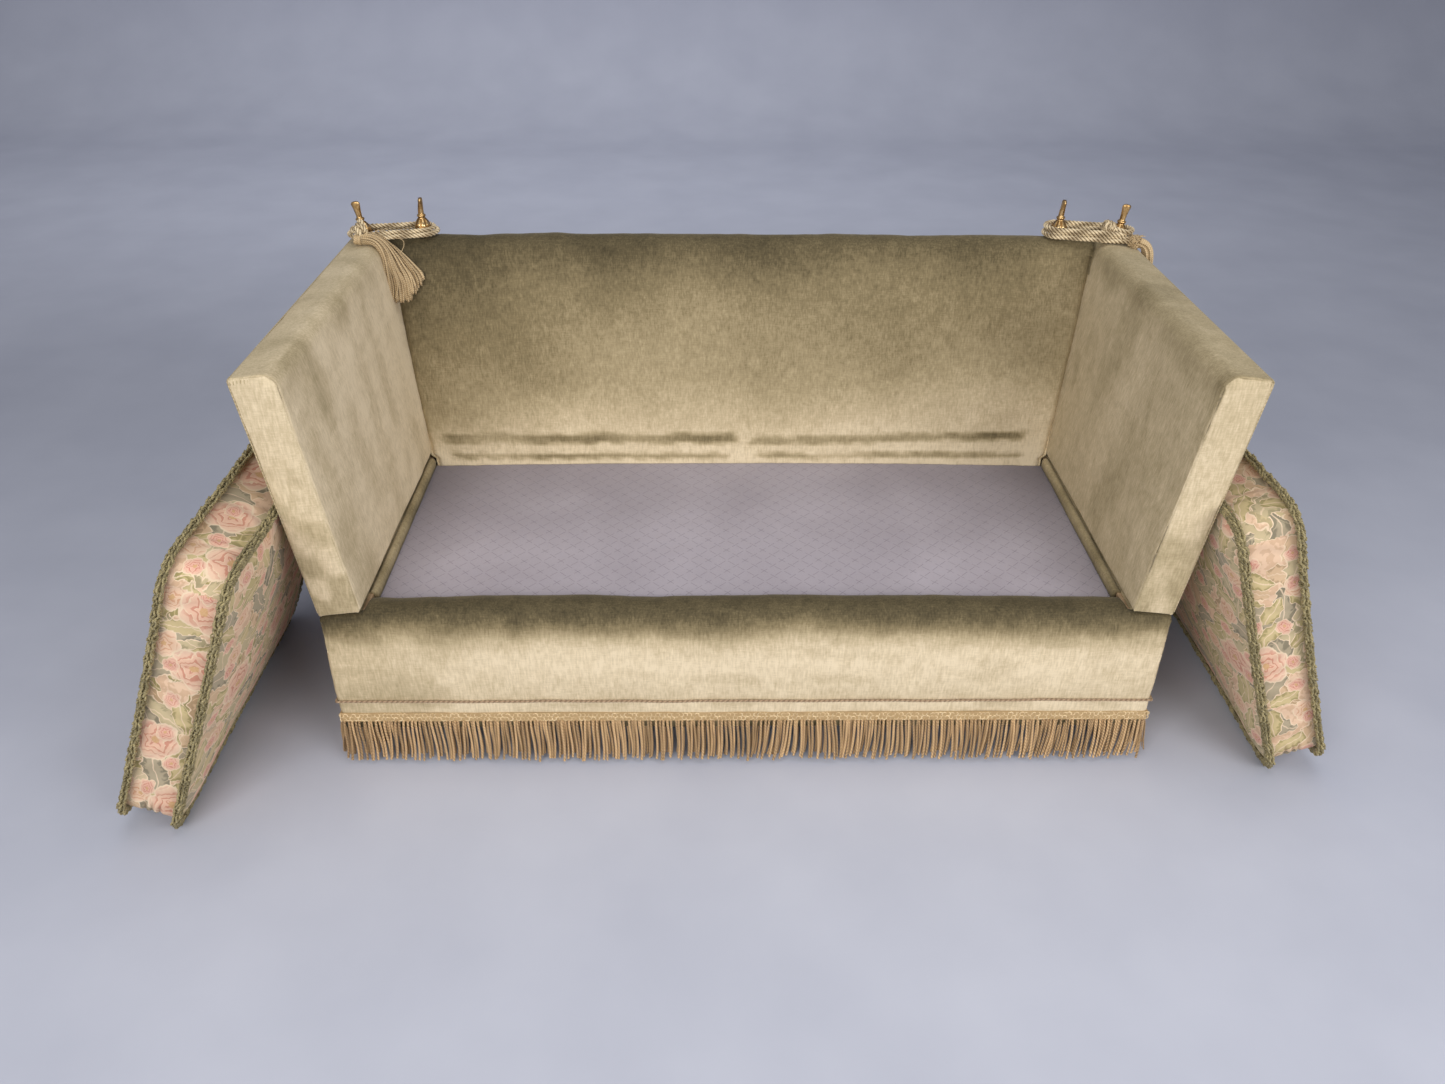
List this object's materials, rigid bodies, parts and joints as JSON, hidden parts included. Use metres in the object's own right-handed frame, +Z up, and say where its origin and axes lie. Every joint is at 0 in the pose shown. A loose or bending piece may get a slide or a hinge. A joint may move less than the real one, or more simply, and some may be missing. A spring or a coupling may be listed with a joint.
{
  "type": "knole sofa",
  "caption": "Two-seat sofa with a low seat deck, high straight back and drop arms tied to it by rope round finials, with loose box cushions and fringe.",
  "frame": {"origin": "on the floor, under the middle of the whole piece with its leaning cushions", "axes": "+X to the sitter's left along the sofa, +Y towards the back, +Z up"},
  "size_m": [2.3858, 1.0404, 0.944],
  "materials": {
    "beech_frame": "plain sawn beech, unfinished",
    "stained_foot": "dark stained beech",
    "webbing": "woven jute webbing",
    "wadding": "felted cotton wadding",
    "platform_lining": "plain platform lining",
    "dust_cloth": "black underlining",
    "olive_velvet": "brushed olive velvet",
    "hinge_steel": "plain steel butt hinge",
    "finial_brass": "gilt brass",
    "cream_rope": "three-ply twisted silk rope",
    "gold_tassel": "bound silk tassel",
    "rose_cord": "fine twisted cord",
    "gold_braid": "woven braid",
    "bullion_fringe": "twisted bullion fringe",
    "floral_tapestry": "woven floral tapestry",
    "olive_ruche": "looped ruche trim",
    "zip_tape": "closed zip on its tape"
  },
  "bodies": {
    "sofa_frame": {"feet": "stained_foot", "corner_posts": "beech_frame", "front_base_board": "beech_frame", "back_base_board": "beech_frame", "side_base_boards": "beech_frame", "front_seat_rail": "beech_frame", "back_seat_rail": "beech_frame", "arm_bearers": "beech_frame", "seat_stretchers": "beech_frame", "seat_webbing": "webbing", "platform_pad": "wadding", "platform_cloth": "platform_lining", "dust_cover": "dust_cloth", "front_border_cover": "olive_velvet", "front_edge_roll": "olive_velvet", "outer_back_panel": "olive_velvet", "back_posts": "beech_frame", "back_top_rail": "beech_frame", "back_lower_rail": "beech_frame", "back_webbing": "webbing", "back_upholstery": "olive_velvet", "hinge_fixed_leaves": "hinge_steel", "hinge_pins": "hinge_steel", "twisted_cord": "rose_cord", "braid_heading": "gold_braid", "front_fringe": "bullion_fringe", "back_fringe": "bullion_fringe", "left_side_cover": "olive_velvet", "left_side_fringe": "bullion_fringe", "left_back_finial": "finial_brass", "left_tie_rope": "cream_rope", "right_side_cover": "olive_velvet", "right_side_fringe": "bullion_fringe", "right_back_finial": "finial_brass", "right_tie_rope": "cream_rope"},
    "left_arm": {"left_arm_posts": "beech_frame", "left_arm_rails": "beech_frame", "left_arm_upholstery": "olive_velvet", "left_hinge_moving_leaves": "hinge_steel", "left_arm_finial": "finial_brass", "left_tassel_head": "gold_tassel", "left_tassel_skirt": "gold_tassel"},
    "left_cushion": {"left_cushion_case": "floral_tapestry", "left_cushion_trims": "olive_ruche", "left_cushion_zip": "zip_tape"},
    "right_arm": {"right_arm_posts": "beech_frame", "right_arm_rails": "beech_frame", "right_arm_upholstery": "olive_velvet", "right_hinge_moving_leaves": "hinge_steel", "right_arm_finial": "finial_brass", "right_tassel_head": "gold_tassel", "right_tassel_skirt": "gold_tassel", "right_rope_knot": "gold_tassel"},
    "right_cushion": {"right_cushion_case": "floral_tapestry", "right_cushion_trims": "olive_ruche", "right_cushion_zip": "zip_tape"}
  },
  "joints": [
    {"name": "left_arm_drop", "type": "hinge", "parent": "sofa_frame", "child": "left_arm", "pos_m": [-0.815, 0, 0.363], "axis": [0, -1, 0], "range_deg": [0, 60], "deforming": ["left_tie_rope"]},
    {"name": "left_cushion_set_aside", "type": "slide", "parent": "sofa_frame", "child": "left_cushion", "axis": [-1, 0, 0], "range_m": [0, 0.56]},
    {"name": "right_arm_drop", "type": "hinge", "parent": "sofa_frame", "child": "right_arm", "pos_m": [0.815, 0, 0.363], "axis": [0, 1, 0], "range_deg": [0, 60], "deforming": ["right_tie_rope"]},
    {"name": "right_cushion_set_aside", "type": "slide", "parent": "sofa_frame", "child": "right_cushion", "axis": [1, 0, 0], "range_m": [0, 0.56]}
  ],
  "couplings": [
    {"joint": "left_cushion_set_aside", "follows": "left_arm_drop", "m_per_rad": 0.53},
    {"joint": "right_cushion_set_aside", "follows": "right_arm_drop", "m_per_rad": 0.53}
  ]
}
